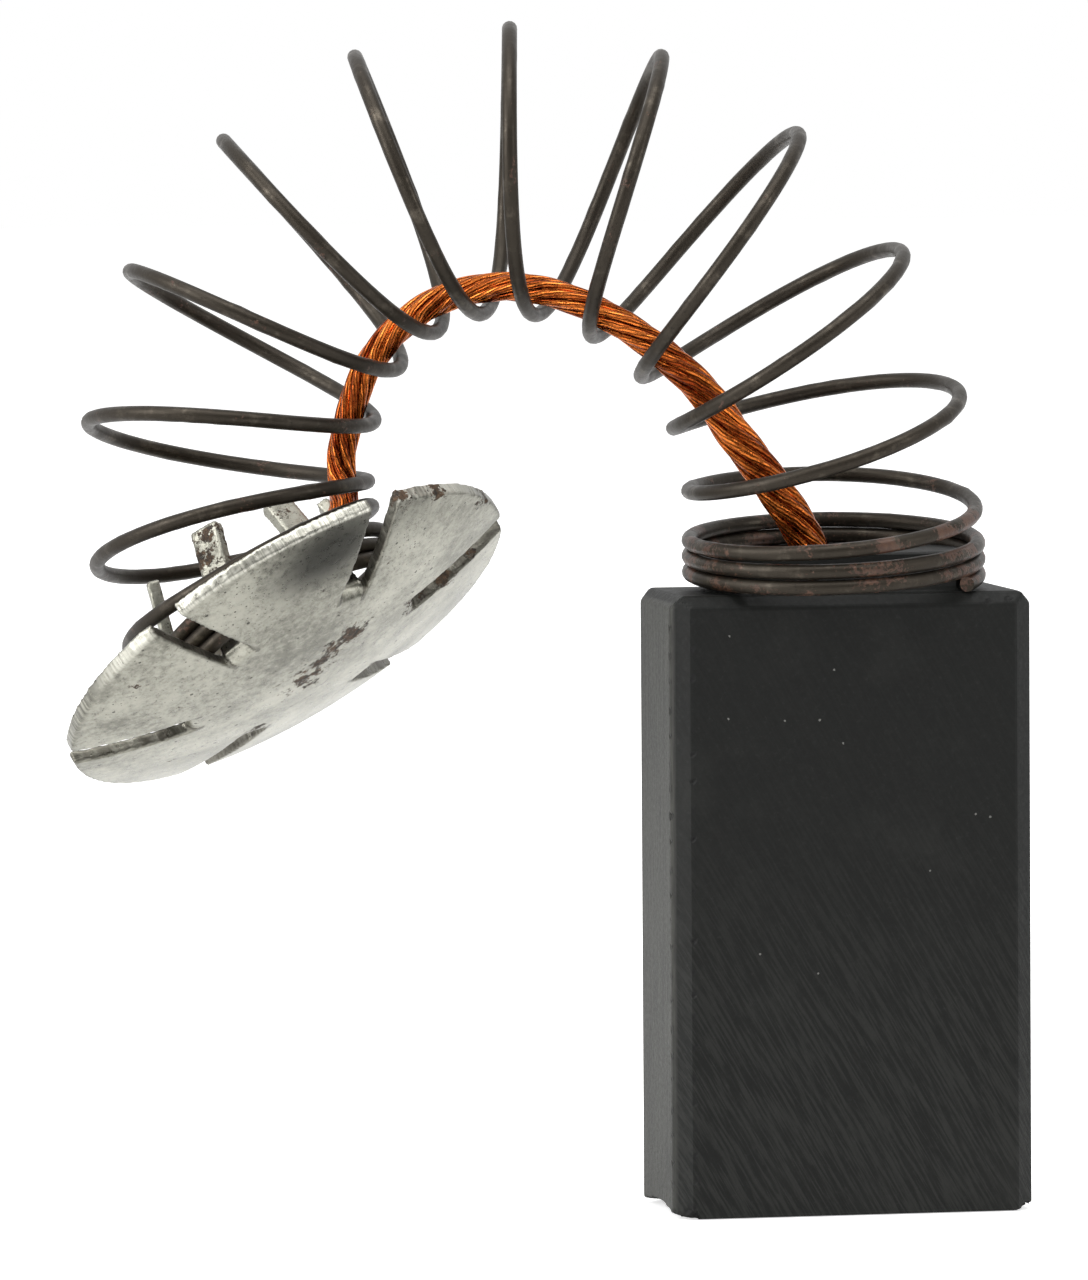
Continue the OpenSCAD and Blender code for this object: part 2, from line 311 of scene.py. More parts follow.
def ropeTree():
    # strands laid round a core: rings of small circles swept along the route and twisted
    tree, gin, gout = treeBase("strandsAlongRoute", [
        ("Strands", "NodeSocketInt", 6), ("Strand radius", "NodeSocketFloat", 0.0002),
        ("Ring radius", "NodeSocketFloat", 0.0004), ("Lay length", "NodeSocketFloat", 0.006),
        ("Sides", "NodeSocketInt", 14), ("Finish", "NodeSocketMaterial", None)])
    line = addNode(tree, "GeometryNodeMeshToCurve", {"Mesh": gin.outputs["Geometry"]}).outputs[0]
    param = addNode(tree, "GeometryNodeSplineParameter")
    girth = addNode(tree, "GeometryNodeInputNamedAttribute", {"Name": "girth"},
                    data_type="FLOAT").outputs["Attribute"]
    sized = addNode(tree, "GeometryNodeSetCurveRadius", {"Curve": line, "Radius": 1.0}).outputs[0]
    twist = addNode(tree, "ShaderNodeMath", {
        0: param.outputs["Length"], 1: gin.outputs["Lay length"]}, operation="DIVIDE").outputs[0]
    angle = addNode(tree, "ShaderNodeMath", {0: twist, 1: -2 * math.pi}, operation="MULTIPLY").outputs[0]
    tilted = addNode(tree, "GeometryNodeSetCurveTilt", {"Curve": sized, "Tilt": angle}).outputs[0]
    stored = addNode(tree, "GeometryNodeStoreNamedAttribute", {
        "Geometry": tilted, "Name": "along", "Value": param.outputs["Length"]},
        data_type="FLOAT", domain="POINT").outputs[0]
    small = addNode(tree, "GeometryNodeCurvePrimitiveCircle", {
        "Resolution": gin.outputs["Sides"], "Radius": gin.outputs["Strand radius"]}).outputs[0]
    around = addNode(tree, "GeometryNodeStoreNamedAttribute", {
        "Geometry": small, "Name": "around",
        "Value": addNode(tree, "GeometryNodeSplineParameter").outputs["Factor"]},
        data_type="FLOAT", domain="POINT").outputs[0]
    big = addNode(tree, "GeometryNodeCurvePrimitiveCircle", {
        "Resolution": gin.outputs["Strands"], "Radius": gin.outputs["Ring radius"]}).outputs[0]
    spin = addNode(tree, "ShaderNodeMath", {
        0: addNode(tree, "GeometryNodeSplineParameter").outputs["Factor"], 1: 2 * math.pi},
        operation="MULTIPLY").outputs[0]
    turned = addNode(tree, "ShaderNodeMath", {0: spin, 1: math.pi}, operation="ADD").outputs[0]
    euler = addNode(tree, "ShaderNodeCombineXYZ", {"Z": turned}).outputs[0]
    rings = addNode(tree, "GeometryNodeInstanceOnPoints", {
        "Points": big, "Instance": around, "Rotation": euler}).outputs[0]
    numbered = addNode(tree, "GeometryNodeStoreNamedAttribute", {
        "Geometry": rings, "Name": "strand",
        "Value": addNode(tree, "GeometryNodeInputIndex").outputs[0]},
        data_type="FLOAT", domain="INSTANCE").outputs[0]
    profile = addNode(tree, "GeometryNodeRealizeInstances", {"Geometry": numbered}).outputs[0]
    tube = addNode(tree, "GeometryNodeCurveToMesh", {
        "Curve": stored, "Profile Curve": profile, "Scale": girth, "Fill Caps": True}).outputs[0]
    real = addNode(tree, "GeometryNodeRealizeInstances", {"Geometry": tube}).outputs[0]
    done = addNode(tree, "GeometryNodeSetMaterial", {
        "Geometry": real, "Material": gin.outputs["Finish"]}).outputs[0]
    tree.links.new(done, gout.inputs[0])
    return tree


def sweptPiece(name, points, tree, values, attributes=None):
    mesh = bpy.data.meshes.new(name + "Guide")
    mesh.from_pydata([tuple(p * mm) for p in points], [(i, i + 1) for i in range(len(points) - 1)], [])
    for key, data in (attributes or {}).items():
        layer = mesh.attributes.new(key, "FLOAT", "POINT")
        layer.data.foreach_set("value", data)
    guide = bpy.data.objects.new(name + "Guide", mesh)
    scene.collection.objects.link(guide)
    modifier = guide.modifiers.new("sweep", "NODES")
    modifier.node_group = tree
    for item in tree.interface.items_tree:
        if item.item_type == "SOCKET" and item.in_out == "INPUT" and item.name in values:
            modifier[item.identifier] = values[item.name]
    graph = bpy.context.evaluated_depsgraph_get()
    result = bpy.data.meshes.new_from_object(guide.evaluated_get(graph))
    result.name = name
    bpy.data.objects.remove(guide)
    piece = bpy.data.objects.new(name, result)
    scene.collection.objects.link(piece)
    for face in result.polygons:
        face.use_smooth = True
    return piece


springFinish = {
    "base": (0.031, 0.025, 0.018),
    "worn": (0.09, 0.076, 0.058),
    "dark": (0.012, 0.009, 0.007),
    "red": (0.11, 0.034, 0.018),
    "rustSize": 620.0,
    "rustLine": 0.0238,
    "rustExtra": 0.35,
    "settled": 0.014,
    "settledTurns": 5,
    "lumpSize": 2600,
    "lumpLow": 0.32,
    "rustAmount": 0.58,
    "lump": 0.045,
}


def springMaterial(f):
    mat, tree, shader = newMaterial("oxidisedSpringWire")
    place = objectPlace(tree)
    parts = addNode(tree, "ShaderNodeSeparateXYZ", {0: place}).outputs
    onBlock = ramp(tree, parts["X"], -0.008, -0.007)
    closed = ramp(tree, parts["Z"], f["rustLine"] + 0.0006, f["rustLine"], 0.0, f["rustExtra"])
    closed = maths(tree, "MULTIPLY", closed, onBlock)
    rust = placeGroup(tree, rustPatches, Place=place, Size=f["rustSize"], Amount=f["rustAmount"],
                      Guide=closed)
    tone = noiseAt(tree, place, 1300.0, 5.0, 0.7)
    scale = noiseAt(tree, place, 7000.0, 4.0, 0.7)
    colour = mixColour(tree, ramp(tree, tone, 0.5, 0.8), f["base"], f["worn"])
    colour = mixColour(tree, ramp(tree, scale, 0.58, 0.7, 0.0, 0.7), colour, f["dark"])
    red = mixColour(tree, 0.5, rust.outputs["Colour"], f["red"])
    colour = mixColour(tree, maths(tree, "MULTIPLY", rust.outputs["Mask"], 0.65), colour, red)
    tree.links.new(colour, shader.inputs["Base Color"])
    tree.links.new(ramp(tree, tone, 0.3, 0.75, 0.5, 0.33), shader.inputs["Roughness"])
    metal = maths(tree, "MULTIPLY", ramp(tree, rust.outputs["Mask"], 0.0, 1.0, 1.0, 0.2), 0.7)
    tree.links.new(metal, shader.inputs["Metallic"])
    shader.inputs["Specular IOR Level"].default_value = 0.4
    height = maths(tree, "ADD", maths(tree, "MULTIPLY", scale, 0.6), rust.outputs["Height"])
    bump = addNode(tree, "ShaderNodeBump", {"Height": height, "Strength": 0.4, "Distance": 0.00003})
    tree.links.new(bump.outputs["Normal"], shader.inputs["Normal"])
    return mat


def roughen(piece, size, depth, low):
    # small lumps that stand up from the surface where the noise is high
    mesh = piece.data
    normals = [v.normal.copy() for v in mesh.vertices]
    for v, normal in zip(mesh.vertices, normals):
        v.co += normal * max(0.0, noise.noise(v.co * size) - low) * depth * mm


def settle(piece, s, f):
    # the closed turns behind the tenon are pressed together, with no gap left
    top = s["blockTop"] + f["settledTurns"] * s["wire"]
    mesh = piece.data
    normals = [v.normal.copy() for v in mesh.vertices]
    for v, normal in zip(mesh.vertices, normals):
        p = v.co / mm
        if p.x > -s["coil"] and p.y > 0:
            v.co += normal * f["settled"] * mm * smoothStep(top - p.z) * smoothStep(p.y)


def wirePoints(s):
    points = []
    for i, n in enumerate(axis["turn"]):
        radius = s["coil"] / 2 + s["swell"] * (1 - smoothStep((n - s["swellOut"][0]) / s["swellOut"][1]))
        points.append(aroundAxis(n, radius, s["wireStart"] + 360 * n))
    return points


spring = sweptPiece("woundSpring", wirePoints(springShape), wireTree(), {
    "Wire radius": springShape["wire"] / 2 * mm, "Sides": springShape["wireSides"],
    "Finish": springMaterial(springFinish)})
settle(spring, springShape, springFinish)
roughen(spring, springFinish["lumpSize"], springFinish["lump"], springFinish["lumpLow"])
print("spring wound:", len(spring.data.polygons), "faces")


ropeShape = {
    "rootWidth": 1.3,
    "width": 1.02,
    "clearance": 0.04,
    "holeWidth": 2.8,
    "holeShift": 0.3,
    "depth": 4.0,
    "tenonTop": 22.5,
    "strands": 7,
    "strandShare": 0.155,
    "layLength": 10.0,
    "weldWidth": 1.5,
    "dip": 0.1,
    "leanShare": 0.78,
    "pressed": 0.8,
    "landing": (0.15, -0.2),  # shares of the root radius, on each side of the cap's middle
    "drawIn": (3.4, 4.1),  # turn where it starts to narrow, turns that it takes
    "girthRun": (6, 10),  # length where it starts to narrow, length that it takes
    "smoothings": 12,
    "sides": 14,
    "weldRise": 0.25,
    "squash": 0.45,
    "weldReach": (0.9, 1.6),
    "step": 0.09,
    "lie": [  # turn, share of the free radius, angle round the axis
        (3, 0.33, 180), (3.8, 0.63, 180), (4.2, 0.76, 180), (5, 0.9, 180), (6.2, 1, 180),
        (7.4, 1, 180), (8.6, 1, 180), (9.8, 1, 180), (11, 1, 180), (12.2, 1, 181),
        (12.8, 1, 188), (13.3, 0.96, 198), (14.4, 0.78, 207), (15.6, 0.5, 210)],
}
capShape = {
    "width": 16.9,
    "depth": 1.43,
    "sheet": 0.45,
    "slots": 6,
    "slotWidth": 1.1,
    "slotTurn": -1.0,
    "tongueClearance": 0.07,
    "seatClearance": 0.02,
    "coarseSides": 22,
}


def capFrame(c, s):
    dome = (c["width"] ** 2 / 4 + c["depth"] ** 2) / (2 * c["depth"])
    seat = dome - c["sheet"] - s["wire"] / 2 - c["seatClearance"]
    back = c["depth"] - dome + math.sqrt(seat ** 2 - s["coil"] ** 2 / 4)
    inside = s["coil"] / 2 * math.cos(math.pi / c["coarseSides"]) - s["wire"] / 2
    root = inside - c["tongueClearance"] - c["sheet"]
    return {"centre": axis["point"][-1] - back * axis["ahead"][-1], "out": axis["out"][-1],
            "side": axis["side"][-1], "ahead": axis["ahead"][-1], "dome": dome, "root": root}


cap = capFrame(capShape, springShape)


def inCap(r, z, angle):
    a = math.radians(angle)
    return cap["centre"] + r * (math.cos(a) * cap["out"] + math.sin(a) * cap["side"]) + z * cap["ahead"]


def ropeWidthAt(n, r):
    return r["rootWidth"] + (r["width"] - r["rootWidth"]) * smoothStep((n - r["drawIn"][0]) / r["drawIn"][1])


def ropeRoute(r, s, c):
    play = r["holeWidth"] - r["rootWidth"] - 2 * r["clearance"]
    lean = math.asin(play / r["depth"] * r["leanShare"])
    mouth = Vector((-r["holeShift"] - r["depth"] / 2 * math.sin(lean), 0, r["tenonTop"]))
    down = Vector((math.sin(lean), 0, -math.cos(lean)))
    flat = r["width"] ** 2 / r["weldWidth"] * r["pressed"]
    weldZ = c["depth"] - c["sheet"] - flat / 2 - r["clearance"] - r["dip"]
    knots = [mouth + r["depth"] * down, mouth + r["depth"] / 2 * down, mouth]
    for n, share, angle in r["lie"]:
        free = (s["coil"] / 2 * math.cos(math.pi / c["coarseSides"]) - s["wire"] / 2
                - ropeWidthAt(n, r) / 2 - r["clearance"])
        knots.append(aroundAxis(round(n * c["coarseSides"]) / c["coarseSides"], share * free, angle))
    knots += [inCap(k * cap["root"], weldZ, r["lie"][-1][2]) for k in r["landing"]]
    points = []
    for i in range(len(knots) - 1):
        a, b, d, e = (knots[min(max(k, 0), len(knots) - 1)] for k in (i - 1, i, i + 1, i + 2))
        count = max(2, round((d - b).length / r["step"]))
        for j in range(count):
            t = j / count
            points.append(0.5 * (2 * b + (d - a) * t + (2 * a - 5 * b + 4 * d - e) * t * t
                                 + (3 * b - a - 3 * d + e) * t ** 3))
    points.append(knots[-1])
    for _ in range(r["smoothings"]):
        points = [points[0]] + [(points[k - 1] + 2 * points[k] + points[k + 1]) / 4
                                for k in range(1, len(points) - 1)] + [points[-1]]
    return points


ropeFinish = {
    # gap: painted shade in the grooves between the wires
    "gapShade": (0.02, 0.005, 0.002),
    "dark": (0.2, 0.03, 0.006),
    "bright": (0.97, 0.27, 0.05),
    "wires": 8.0,
    "lay": 700.0,
}


def ropeMaterial(f):
    mat, tree, shader = newMaterial("twistedCopperStrands")
    along = addNode(tree, "ShaderNodeAttribute", attribute_name="along").outputs["Fac"]
    around = addNode(tree, "ShaderNodeAttribute", attribute_name="around").outputs["Fac"]
    strand = addNode(tree, "ShaderNodeAttribute", attribute_name="strand").outputs["Fac"]
    place = objectPlace(tree)
    broad = noiseAt(tree, place, 800.0, 4.0, 0.6)
    fine = noiseAt(tree, place, 5200.0, 3.0, 0.6)
    wander = maths(tree, "MULTIPLY", noiseAt(tree, place, 1100.0, 2.0, 0.5), 1.8)
    lay = maths(tree, "ADD", maths(tree, "MULTIPLY", along, f["lay"]), wander)
    count = maths(tree, "ADD", maths(tree, "MULTIPLY", around, f["wires"]), lay)
    wave = maths(tree, "SINE", maths(tree, "MULTIPLY", count, 2 * math.pi))
    ridge = ramp(tree, wave, -0.9, 0.5)
    number = maths(tree, "ADD", maths(tree, "FLOOR", count), maths(tree, "MULTIPLY", strand, 37.0))
    pick = addNode(tree, "ShaderNodeTexWhiteNoise", {"W": number}, noise_dimensions="1D").outputs["Value"]
    bright = maths(tree, "ADD", maths(tree, "MULTIPLY", pick, 0.5), maths(tree, "MULTIPLY", broad, 0.8))
    bright = maths(tree, "ADD", bright, maths(tree, "MULTIPLY", fine, 0.3))
    colour = mixColour(tree, ramp(tree, bright, 0.5, 1.15), f["dark"], f["bright"])
    # painted shade in the grooves between the wires
    colour = mixColour(tree, ramp(tree, ridge, 0.0, 0.6, 0.3, 1.0), f["gapShade"], colour)
    tree.links.new(colour, shader.inputs["Base Color"])
    tree.links.new(ramp(tree, fine, 0.3, 0.7, 0.2, 0.36), shader.inputs["Roughness"])
    shader.inputs["Metallic"].default_value = 1.0
    bump = addNode(tree, "ShaderNodeBump", {
        "Height": maths(tree, "ADD", ridge, maths(tree, "MULTIPLY", fine, 0.6)),
        "Strength": 1.0, "Distance": 0.00005})
    tree.links.new(bump.outputs["Normal"], shader.inputs["Normal"])
    return mat


def girthAlong(points, r):
    # full width at the block, drawn in where the rope lies along the coil
    girth, run = [], 0.0
    for k, p in enumerate(points):
        run += (p - points[k - 1]).length if k else 0
        drawn = smoothStep((run - r["girthRun"][0]) / r["girthRun"][1])
        wide = r["rootWidth"] + (r["width"] - r["rootWidth"]) * drawn
        girth.append(wide / r["rootWidth"])
    return girth


def flattenWeld(piece, c, r):
    # the welded end is pressed flat against the inside of the cap
    ahead = cap["ahead"]
    centre = inCap(0, c["depth"] - c["sheet"] - r["weldRise"], 0) * mm
    for v in piece.data.vertices:
        away = (v.co - centre).length / mm
        squash = r["squash"] * (1 - smoothStep((away - r["weldReach"][0]) / r["weldReach"][1]))
        v.co -= ahead * ((v.co - centre).dot(ahead)) * squash


route = ropeRoute(ropeShape, springShape, capShape)
shunt = sweptPiece("copperShunt", route, ropeTree(), {
    "Strands": ropeShape["strands"],
    "Strand radius": ropeShape["strandShare"] * ropeShape["rootWidth"] * mm,
    "Ring radius": (0.5 - ropeShape["strandShare"]) * ropeShape["rootWidth"] * mm,
    "Lay length": ropeShape["layLength"] * mm,
    "Sides": ropeShape["sides"],
    "Finish": ropeMaterial(ropeFinish)}, {"girth": girthAlong(route, ropeShape)})
flattenWeld(shunt, capShape, ropeShape)
print("shunt laid:", len(shunt.data.polygons), "faces")


capFinish = {
    "voxel": 0.085,
    "bright": (0.47, 0.462, 0.395),
    "dull": (0.17, 0.167, 0.137),
    "dirt": (0.045, 0.042, 0.035),
    "rust": [  # radius, angle round the cap, size
        (2.1, 215, 1.2), (1.3, 228, 1.2), (0.7, 239, 1.5), (0.3, 54, 1.6), (1.0, 40, 0.9),
        (4.3, 180, 0.9), (5.0, 177, 0.8), (5.9, 174, 0.8), (7.1, 175, 0.6), (8.2, 177, 0.6),
        (8.4, 233, 0.9), (8.4, 222, 0.8), (8.3, 200, 0.8), (7.4, 321, 0.6), (3.95, 58, 0.7)],
    "tongueRust": [  # slot's angle, height up the tongue, size
        (299, 4.0, 2.0), (299, 2.8, 1.6), (239, 4.2, 0.55), (-1, 4.1, 0.6)],
    "tongueSway": 6,
    "tongueLean": 0.25,
    "tongueTop": -0.7,
    # darkening: along the slot edges, wider on the underside, and painted shade over the whole tongues,
    # which sit in shade inside the coil; the bends stay lighter
    "edgeAndShadeDark": {"inner": 0.3, "outer": 0.1, "tongue": 0.3, "bend": 0.08},
    "bendInset": 0.12,
    "bendRun": 0.7,
    "rimWidth": 0.16,
    "shear": (0.9, 20),  # lines for a degree of rim, lines for a millimetre of tongue
    # litSlope, litShift, litRun: where the rim gets a painted highlight, bright on the side facing the
    # light, with painted shade elsewhere
    "litSlope": 0.45,
    "litShift": 1.2,
    "litRun": 3,
    # shadeAt, shadeSize: the painted shade and dark reflection on the upper petal
    "shadeAt": (-1.9, -6.9),
    "shadeSize": (2.6, 1.8),
    "burrSize": 3200,
    "burr": 0.07,
}


def copyOf(node, name):
    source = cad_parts[node]
    mesh = source.data.copy()
    mesh.name = name
    piece = bpy.data.objects.new(name, mesh)
    scene.collection.objects.link(piece)
    mesh.materials.clear()
    return piece


def applyAll(piece):
    graph = bpy.context.evaluated_depsgraph_get()
    mesh = bpy.data.meshes.new_from_object(piece.evaluated_get(graph))
    old = piece.data
    piece.modifiers.clear()
    piece.data = mesh
    mesh.name = piece.name
    bpy.data.meshes.remove(old)


def weldPoints(piece, distance):
    modifier = piece.modifiers.new("weld", "WELD")
    modifier.merge_threshold = distance


def remeshed(piece, voxel):
    weldPoints(piece, 0.00001)
    modifier = piece.modifiers.new("grain", "REMESH")
    modifier.mode = "VOXEL"
    modifier.voxel_size = voxel * mm
    applyAll(piece)


def capLocal(co):
    p = co / mm - cap["centre"]
    return p.dot(cap["out"]), p.dot(cap["side"]), p.dot(cap["ahead"])


def attributeOf(tree, name):
    return addNode(tree, "ShaderNodeAttribute", attribute_name=name).outputs["Fac"]


def capMaterial(f):
    mat, tree, shader = newMaterial("tinnedCapSheet")
    place = objectPlace(tree)
    edge = attributeOf(tree, "cutEdgeAndTongueShade")
    shade = attributeOf(tree, "petalShade")
    rust = placeGroup(tree, rustPatches, Place=place, Size=1500.0, Amount=0.42,
                      Guide=attributeOf(tree, "rustGuide"))
    specks = placeGroup(tree, fineSpecks, Place=place, Density=6500.0, Radius=0.24, Share=0.5)
    dots = placeGroup(tree, fineSpecks, Place=place, Density=1900.0, Radius=0.15, Share=0.4)
    broad = noiseAt(tree, place, 330.0, 5.0, 0.6)
    fine = noiseAt(tree, place, 3300.0, 6.0, 0.75)
    level = maths(tree, "ADD", maths(tree, "MULTIPLY", broad, 0.5), maths(tree, "MULTIPLY", fine, 0.5))
    colour = mixColour(tree, ramp(tree, level, 0.36, 0.62), f["dull"], f["bright"])
    # painted shade and dark reflection on the upper petal
    colour = mixColour(tree, maths(tree, "MULTIPLY", shade, 0.95), colour, (0.055, 0.054, 0.046))
    dirt = maths(tree, "MULTIPLY", specks.outputs["Mask"], ramp(tree, broad, 0.4, 0.62))
    colour = mixColour(tree, maths(tree, "MULTIPLY", dirt, 0.8), colour, f["dirt"])
    colour = mixColour(tree, maths(tree, "MULTIPLY", dots.outputs["Mask"], 0.85), colour, f["dirt"])
    sheared = addNode(tree, "ShaderNodeTexNoise", {
        "W": attributeOf(tree, "roundRim"), "Scale": 1.0, "Detail": 4.0, "Roughness": 0.7},
        noise_dimensions="1D").outputs["Fac"]
    rim = attributeOf(tree, "rimEdge")
    # sheared rim streaks with a painted highlight where the rim faces the light, and painted shade elsewhere
    rimLitAndShadedTone = mixColour(tree, attributeOf(tree, "litRim"), (0.1, 0.097, 0.082), (0.62, 0.61, 0.54))
    litShearStreaks = maths(tree, "MULTIPLY", rim, ramp(tree, sheared, 0.4, 0.6, 0.9, 0.2))
    colour = mixColour(tree, litShearStreaks, colour, rimLitAndShadedTone)
    streak = ramp(tree, maths(tree, "ADD", sheared, maths(tree, "MULTIPLY", fine, 0.4)), 0.55, 0.8)
    # darker along the slot edges, and painted shade over the tongues
    edgeAndShadeDark = maths(tree, "MULTIPLY", edge, maths(tree, "ADD", 0.35, maths(tree, "MULTIPLY", streak, 0.5)))
    colour = mixColour(tree, edgeAndShadeDark, colour, (0.06, 0.053, 0.042))
    colour = mixColour(tree, rust.outputs["Mask"], colour, rust.outputs["Colour"])
    tree.links.new(colour, shader.inputs["Base Color"])
    rough = ramp(tree, fine, 0.3, 0.75, 0.25, 0.42)
    rough = maths(tree, "ADD", rough, maths(tree, "MULTIPLY", rust.outputs["Mask"], 0.4))
    tree.links.new(rough, shader.inputs["Roughness"])
    metal = maths(tree, "SUBTRACT", 0.92, maths(tree, "MULTIPLY", rust.outputs["Mask"], 0.8))
    tree.links.new(metal, shader.inputs["Metallic"])
    crust = maths(tree, "MULTIPLY", rust.outputs["Height"], 1.5)
    height = maths(tree, "ADD", maths(tree, "MULTIPLY", fine, 0.5), crust)
    height = maths(tree, "SUBTRACT", height, maths(tree, "MULTIPLY", dirt, 0.3))
    height = maths(tree, "ADD", height, maths(tree, "MULTIPLY", edgeAndShadeDark, 0.8))
    bump = addNode(tree, "ShaderNodeBump", {"Height": height, "Strength": 0.4, "Distance": 0.00005})
    tree.links.new(bump.outputs["Normal"], shader.inputs["Normal"])
    return mat


def rustSpots(c, f):
    spots = []
    for radius, angle, size in f["rust"]:
        height = c["depth"] - cap["dome"] + math.sqrt(cap["dome"] ** 2 - radius ** 2) - c["sheet"] / 2
        a = math.radians(angle)
        spots.append((Vector((radius * math.cos(a), radius * math.sin(a), height)), size))
    for angle, rise, size in f["tongueRust"]:
        a = math.radians(angle - f["tongueSway"])
        radius = cap["root"] - rise * f["tongueLean"]
        height = c["depth"] - c["sheet"] - rise
        spots.append((Vector((radius * math.cos(a), radius * math.sin(a), height)), size))
    return spots


def dressCap(piece, c, f):
    mesh = piece.data
    values = {"cutEdgeAndTongueShade": [], "rimEdge": [], "litRim": [], "roundRim": [], "rustGuide": [], "petalShade": []}
    spots = rustSpots(c, f)
    step = 360 / c["slots"]
    for v in mesh.vertices:
        local = Vector(capLocal(v.co))
        x, y, z = local
        r = math.hypot(x, y)
        angle = (math.degrees(math.atan2(y, x)) - c["slotTurn"] + step / 2) % step - step / 2
        across = abs(r * math.sin(math.radians(angle)))
        beside = max(0.0, across - c["slotWidth"] / 2)
        toSlot = beside if r > cap["root"] else math.hypot(across, cap["root"] - r)
        dome = c["depth"] - cap["dome"] + math.sqrt(cap["dome"] ** 2 - r * r)
        inner = dome - z > c["sheet"] * 0.25
        onTongue = z < f["tongueTop"]
        onBend = across < c["slotWidth"] / 2 - f["bendInset"] and r < cap["root"] + f["bendRun"]
        # the tongues get an even painted shade, the bends a little, the rest darkens near the slot edges
        if onTongue:
            cut = f["edgeAndShadeDark"]["tongue"]
        elif onBend:
            cut = f["edgeAndShadeDark"]["bend"]
        else:
            cut = max(0.0, 1 - toSlot / f["edgeAndShadeDark"]["inner" if inner else "outer"])
        rim = max(0.0, 1 - (c["width"] / 2 - r) / f["rimWidth"]) if z > f["tongueTop"] else 0.0
        values["cutEdgeAndTongueShade"].append(cut)
        values["rimEdge"].append(rim)
        # litRim: painted highlight on the rim's lit side
        values["litRim"].append(smoothStep((-y - f["litSlope"] * abs(x + f["litShift"])) / f["litRun"]))
        sheared = math.degrees(math.atan2(y, x)) * f["shear"][0] + (f["shear"][1] * z if onTongue else 0.0)
        values["roundRim"].append(sheared)
        values["rustGuide"].append(max(0.0, max(1 - (local - spot).length / size for spot, size in spots)))
        # petalShade: painted shade and dark reflection on the upper petal
        (shadeX, shadeY), (shadeWide, shadeHigh) = f["shadeAt"], f["shadeSize"]
        away = math.hypot((x - shadeX) / shadeWide, (y - shadeY) / shadeHigh)
        values["petalShade"].append(smoothStep(1.25 - away) if z > -1 else 0.0)
        ragged = noise.noise_vector(v.co * f["burrSize"]) * (0.35 + values["rustGuide"][-1])
        v.co += ragged * min(1.0, (cut + rim) * 1.5) * f["burr"] * mm * 0.6
    for key, data in values.items():
        mesh.attributes.new(key, "FLOAT", "POINT").data.foreach_set("value", data)


capPiece = copyOf("terminal_cap", "domedCap")
remeshed(capPiece, capFinish["voxel"])
dressCap(capPiece, capShape, capFinish)
capPiece.data.materials.append(capMaterial(capFinish))
for face in capPiece.data.polygons:
    face.use_smooth = True
print("cap dressed:", len(capPiece.data.polygons), "faces")


blockFinish = {
    "voxel": 0.115,
    "front": (0.0042, 0.0047, 0.004),
    "pale": (0.027, 0.0275, 0.0248),
    # side: the left side face, paler partly from its own drawn finish and partly painted light from the left
    "side": (0.052, 0.052, 0.046),
    "fleck": (0.13, 0.13, 0.12),
    "flecks": [  # across, up
        (-4.3, 19.8), (-4.35, 17.0), (-0.7, 18.6), (-2.4, 16.9), (-1.2, 16.9), (-0.4, 16.1),
        (-3.3, 9.0), (-1.3, 8.3), (4.2, 13.6), (4.7, 13.5), (2.6, 11.7)],
    "bites": [  # across, deep, up, radius
        (-6.4, 3.3, -0.15, 0.55), (-6.0, -3.3, -0.15, 0.6), (-6.5, -2.6, -0.1, 0.45),
        (7.1, -2.9, -0.85, 1.5), (5.6, -3.4, -0.15, 0.3), (-3.1, -3.3, -0.12, 0.25),
        (0.8, -3.3, -0.12, 0.22), (2.9, -3.3, -0.14, 0.28), (-6.35, -3.1, 21.3, 0.45),
        (4.7, -3.2, 21.0, 0.24), (5.4, -3.15, 21.0, 0.2), (6.1, -3.2, 21.15, 0.35)],
    "nibbles": 70,
    "nibbleEdges": ((-6.33, -2.5), (-5.6, -3.23), (5.66, -3.24)),
    "nibbleHeight": 21.0,
    "fleckDepth": -3.11,
    "fleckShift": 0.04,
    "fleckRadius": 0.036,
    "edgeZone": (5.2, 0.6, 20.5),  # across from here, up to here, up from here
    "sideFrom": -6.08,
    "sideRun": 0.08,
    "chip": (0.006, 0.006, 0.006),
}


def allBites(f):
    bites = [(Vector(b[:3]), b[3]) for b in f["bites"]]
    for k in range(f["nibbles"]):
        up = f["nibbleHeight"] * (k + 0.5 + 0.8 * noise.noise(Vector((k * 3.7, 0.3, 0)))) / f["nibbles"]
        size = 0.12 + 0.12 * abs(noise.noise(Vector((k * 1.9, 5.1, 0))))
        side = k % 3
        x, y = f["nibbleEdges"][side]
        bites.append((Vector((x, y, up)), size * (1.0 if side < 2 else 0.7)))
    return bites


def chipBlock(piece, f):
    # bites out of the edges, with ragged hollows
    bites = allBites(f)
    mesh = piece.data
    chipped, side = [], []
    across, low, high = f["edgeZone"]
    for v in mesh.vertices:
        p = v.co / mm
        cut = 0.0
        if abs(p.x) > across or p.z < low or p.z > high:
            for centre, size in bites:
                away = p - centre
                reach = size * (1 + 0.35 * noise.noise(v.co * 4000))
                if away.length < reach:
                    p = centre + away.normalized() * reach
                    cut = 1.0
            v.co = p * mm
        chipped.append(cut)
        side.append(smoothStep((f["sideFrom"] - p.x) / f["sideRun"]))
    mesh.attributes.new("chipped", "FLOAT", "POINT").data.foreach_set("value", chipped)
    mesh.attributes.new("sideFace", "FLOAT", "POINT").data.foreach_set("value", side)


def spotMask(tree, place, points, radius):
    mask = None
    for point in points:
        away = addNode(tree, "ShaderNodeVectorMath", {0: place, 1: Vector(point) * mm},
                       operation="DISTANCE").outputs["Value"]
        inside = maths(tree, "LESS_THAN", away, radius * mm)
        mask = inside if mask is None else maths(tree, "MAXIMUM", mask, inside)
    return mask


